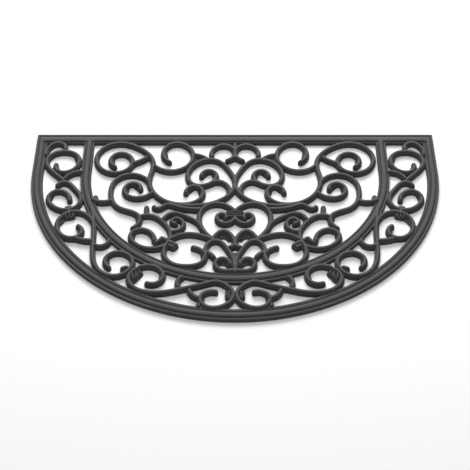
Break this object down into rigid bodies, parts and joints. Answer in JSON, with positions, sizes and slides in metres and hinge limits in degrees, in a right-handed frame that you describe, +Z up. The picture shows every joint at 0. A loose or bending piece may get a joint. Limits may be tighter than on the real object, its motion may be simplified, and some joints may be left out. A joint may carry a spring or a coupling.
{
  "type": "rubber doormat",
  "caption": "Half-round moulded rubber doormat in open scrollwork, with a ribbed raised rim and an inner band; it lies flat at a door and scrapes shoes.",
  "frame": {"origin": "middle of the bounding box, on the floor under the mat", "axes": "+X along the straight back edge, to the right as seen from the curved front; +Y from the curved front to the straight back; +Z up"},
  "size_m": [0.75, 0.451, 0.0095],
  "materials": {
    "rubber": "moulded black rubber, matt with a soft sheen"
  },
  "bodies": {
    "root": {"mat": "rubber"}
  },
  "joints": []
}
